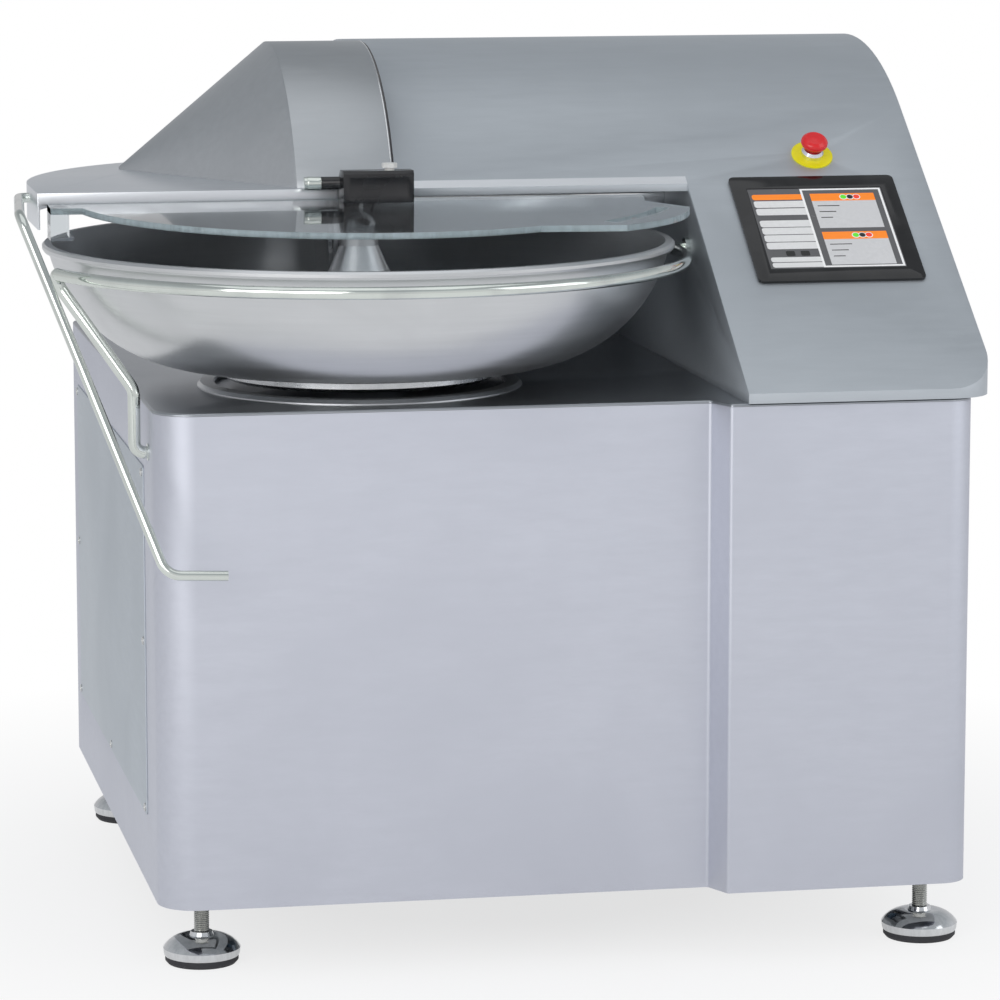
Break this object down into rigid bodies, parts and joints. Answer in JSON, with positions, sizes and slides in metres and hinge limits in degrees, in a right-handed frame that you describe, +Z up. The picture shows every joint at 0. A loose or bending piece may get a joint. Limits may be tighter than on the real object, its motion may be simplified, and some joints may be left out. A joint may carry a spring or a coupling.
{
  "type": "bowl cutter",
  "caption": "Floor-standing bowl cutter with a turning bowl, knife shaft under a hinged hood, clear lid, guard rail and touch panel.",
  "frame": {"origin": "centre of the front left foot's underside, on the floor", "axes": "+X to the operator's right, +Y from the operator towards the back, +Z up"},
  "size_m": [1.2422, 1.258, 1.1607],
  "materials": {
    "steel_front": "brushed",
    "steel_side": "brushed",
    "steel_bowl": "polished",
    "steel_knife": "ground",
    "steel_rod": "polished",
    "steel_shaft": "turned",
    "cast": "painted",
    "frame_paint": "satin",
    "motor": "painted",
    "zinc": "zinc plated",
    "clear": "clear",
    "black": "glossy",
    "black_matte": "satin",
    "white": "satin",
    "red": "glossy",
    "yellow": "satin",
    "collar": "satin",
    "rubber": "matte",
    "gear": "machined"
  },
  "bodies": {
    "machine_base": {"base_frame": "frame_paint", "cabinet_shell": "steel_front", "inspection_cover": "steel_side", "cover_screws": "zinc", "rear_panel": "steel_side", "cable_gland": "black_matte", "foot_studs": "zinc", "foot_domes": "steel_bowl", "foot_pads": "rubber", "deck_plate": "steel_front", "deck_collar": "steel_bowl", "control_housing": "steel_side", "housing_rear_panel": "steel_side", "guard_rail": "steel_rod", "rail_sockets": "steel_rod", "bowl_bearing_housing": "cast", "bowl_bearings": "steel_shaft", "drive_plate": "frame_paint", "bowl_gear_motor": "motor", "shaft_tube": "steel_bowl", "shaft_seal": "rubber", "bearing_block": "cast", "shaft_bearings": "steel_shaft", "bearing_pedestal": "frame_paint", "drive_belt": "rubber", "main_motor": "motor", "switchgear_box": "frame_paint", "hood_hinge_shaft": "steel_shaft", "panel_frame": "black", "panel_screen": "black", "panel_box": "black_matte", "stop_plate": "yellow", "stop_collar": "collar"},
    "bowl_unit": {"bowl": "steel_bowl", "bowl_shaft": "steel_shaft", "hub_cap": "steel_bowl", "bowl_gear": "gear"},
    "pinion_unit": {"drive_pinion": "gear"},
    "knife_unit": {"knife_shaft": "steel_shaft", "knife_pair_1": "steel_knife", "knife_pair_2": "steel_knife", "knife_pair_3": "steel_knife", "knife_spacers": "steel_shaft", "knife_nut": "steel_shaft", "shaft_pulley": "cast"},
    "motor_unit": {"motor_shaft": "steel_shaft", "motor_pulley": "cast"},
    "hood": {"hood_plate": "steel_side", "hood_ring": "steel_side", "hood_cone": "steel_side", "hood_hinge_bracket": "steel_shaft", "hood_lever": "steel_rod", "lid_hinge_bracket": "steel_rod", "lid_hinge_pin": "steel_rod"},
    "lid": {"lid_sheet": "clear", "lid_block": "black", "lid_side_clamp": "clear"},
    "lid_button_unit": {"lid_button": "white"},
    "stop_button_unit": {"stop_button": "red"}
  },
  "joints": [
    {"name": "bowl_spin", "type": "hinge", "parent": "machine_base", "child": "bowl_unit", "pos_m": [0.236, 0.158, 0.75], "axis": [0, 0, 1], "continuous": true},
    {"name": "pinion_spin", "type": "hinge", "parent": "machine_base", "child": "pinion_unit", "pos_m": [0.3563, 0.158, 0.577], "axis": [0, 0, 1], "continuous": true},
    {"name": "knife_spin", "type": "hinge", "parent": "machine_base", "child": "knife_unit", "pos_m": [0.236, 0.37199, 0.951], "axis": [1, 0, 0], "continuous": true},
    {"name": "motor_spin", "type": "hinge", "parent": "machine_base", "child": "motor_unit", "pos_m": [0.896, 0.488, 0.32], "axis": [1, 0, 0], "continuous": true},
    {"name": "hood_open", "type": "hinge", "parent": "machine_base", "child": "hood", "pos_m": [0.236, 0.733, 1.01], "axis": [-1, 0, 0], "range_deg": [0, 80]},
    {"name": "lid_open", "type": "hinge", "parent": "hood", "child": "lid", "pos_m": [0.236, 0.133, 0.993], "axis": [-1, 0, 0], "range_deg": [0, 100]},
    {"name": "lid_button_press", "type": "slide", "parent": "lid", "child": "lid_button_unit", "axis": [0, 0, -1], "range_m": [0, 0.003], "stiffness_N_per_m": 800},
    {"name": "stop_press", "type": "slide", "parent": "machine_base", "child": "stop_button_unit", "axis": [0, 0.5678, -0.8231], "range_m": [0, 0.005]}
  ],
  "couplings": [
    {"joint": "pinion_spin", "follows": "bowl_spin", "ratio": -3},
    {"joint": "motor_spin", "follows": "knife_spin", "ratio": 0.8}
  ]
}
